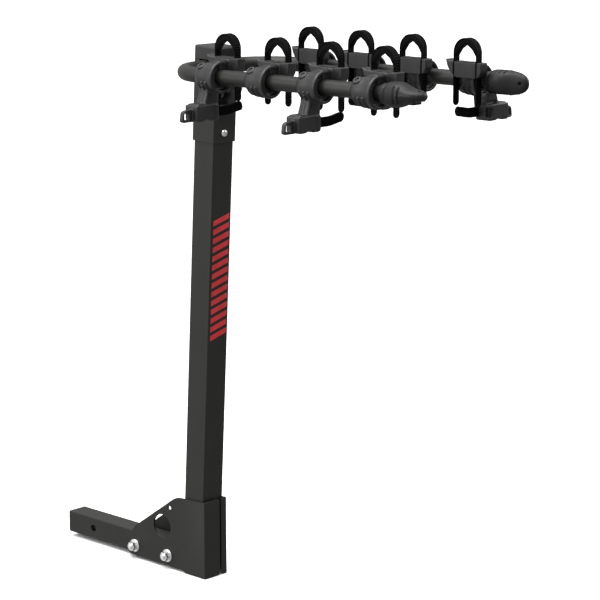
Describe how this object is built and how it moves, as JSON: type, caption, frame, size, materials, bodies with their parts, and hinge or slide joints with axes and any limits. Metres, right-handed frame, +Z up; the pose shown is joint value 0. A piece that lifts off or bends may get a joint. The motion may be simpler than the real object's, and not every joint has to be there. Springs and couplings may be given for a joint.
{
  "type": "hitch mounted bike rack",
  "caption": "Hitch mounted bike rack: square shank, leaning square mast and a fold-down U-shaped arm tube with strap cradles, some with anti-sway legs.",
  "frame": {"origin": "centre of the hitch pin hole, on the shank's axis", "axes": "+X points rearward away from the vehicle along the shank, +Z up, -Y is the vehicle's left side"},
  "size_m": [1.1893, 0.4728, 1.226],
  "materials": {
    "black_steel": "satin black powder coat",
    "bare_steel": "plain steel",
    "zinc_hardware": "bright zinc plate",
    "black_plastic": "moulded black nylon",
    "cradle_plastic": "satin dark grey moulding",
    "strap_rubber": "soft black rubber"
  },
  "bodies": {
    "mast_frame": {"shank": "black_steel", "side_plate_left": "black_steel", "side_plate_right": "black_steel", "base_bolt_front": "zinc_hardware", "base_bolt_rear": "zinc_hardware", "base_nut_front": "zinc_hardware", "base_nut_rear": "zinc_hardware", "base_washer_front": "zinc_hardware", "base_washer_rear": "zinc_hardware", "spacer_left_front": "bare_steel", "spacer_left_rear": "bare_steel", "spacer_right_front": "bare_steel", "spacer_right_rear": "bare_steel", "mast": "black_steel", "mast_foot_plug": "black_plastic", "head_sleeve": "black_steel", "head_cap": "black_plastic", "sleeve_bolt": "zinc_hardware", "latch_bracket": "black_steel", "latch_pin": "zinc_hardware", "lever_spring": "zinc_hardware"},
    "release_lever": {"release_lever": "black_plastic"},
    "arms": {"arm_tube": "black_steel", "lock_disc": "bare_steel", "end_cap_left": "black_plastic", "end_cap_right": "black_plastic"},
    "cradle_left_1": {"cradle_left_1": "cradle_plastic", "strap_left_1": "strap_rubber", "sway_strap_left_1": "strap_rubber"},
    "cradle_left_2": {"cradle_left_2": "cradle_plastic", "strap_left_2": "strap_rubber"},
    "cradle_left_3": {"cradle_left_3": "cradle_plastic", "strap_left_3": "strap_rubber", "sway_strap_left_3": "strap_rubber"},
    "cradle_left_4": {"cradle_left_4": "cradle_plastic", "strap_left_4": "strap_rubber"},
    "cradle_right_1": {"cradle_right_1": "cradle_plastic", "strap_right_1": "strap_rubber"},
    "cradle_right_2": {"cradle_right_2": "cradle_plastic", "strap_right_2": "strap_rubber", "sway_strap_right_2": "strap_rubber"},
    "cradle_right_3": {"cradle_right_3": "cradle_plastic", "strap_right_3": "strap_rubber"},
    "cradle_right_4": {"cradle_right_4": "cradle_plastic", "strap_right_4": "strap_rubber", "sway_strap_right_4": "strap_rubber"}
  },
  "joints": [
    {"name": "arm_fold", "type": "hinge", "parent": "mast_frame", "child": "arms", "pos_m": [0.39332, 0, 1.10471], "axis": [0, 1, 0], "range_deg": [0, 87]},
    {"name": "lever_press", "type": "hinge", "parent": "mast_frame", "child": "release_lever", "pos_m": [0.43646, 0, 1.05822], "axis": [0, 1, 0], "range_deg": [0, 8], "stiffness_Nm_per_rad": 0.8, "springref_deg": -20.05},
    {"name": "cradle_left_1_swivel", "type": "hinge", "parent": "arms", "child": "cradle_left_1", "pos_m": [0.55392, -0.158, 1.10471], "axis": [1, 0, 0], "range_deg": [-30, 30]},
    {"name": "cradle_left_2_swivel", "type": "hinge", "parent": "arms", "child": "cradle_left_2", "pos_m": [0.69492, -0.158, 1.10471], "axis": [1, 0, 0], "range_deg": [-30, 30]},
    {"name": "cradle_left_3_swivel", "type": "hinge", "parent": "arms", "child": "cradle_left_3", "pos_m": [0.83592, -0.158, 1.10471], "axis": [1, 0, 0], "range_deg": [-30, 30]},
    {"name": "cradle_left_4_swivel", "type": "hinge", "parent": "arms", "child": "cradle_left_4", "pos_m": [0.97692, -0.158, 1.10471], "axis": [1, 0, 0], "range_deg": [-30, 30]},
    {"name": "cradle_right_1_swivel", "type": "hinge", "parent": "arms", "child": "cradle_right_1", "pos_m": [0.55392, 0.158, 1.10471], "axis": [1, 0, 0], "range_deg": [-30, 30]},
    {"name": "cradle_right_2_swivel", "type": "hinge", "parent": "arms", "child": "cradle_right_2", "pos_m": [0.69492, 0.158, 1.10471], "axis": [1, 0, 0], "range_deg": [-30, 30]},
    {"name": "cradle_right_3_swivel", "type": "hinge", "parent": "arms", "child": "cradle_right_3", "pos_m": [0.83592, 0.158, 1.10471], "axis": [1, 0, 0], "range_deg": [-30, 30]},
    {"name": "cradle_right_4_swivel", "type": "hinge", "parent": "arms", "child": "cradle_right_4", "pos_m": [0.97692, 0.158, 1.10471], "axis": [1, 0, 0], "range_deg": [-30, 30]}
  ]
}
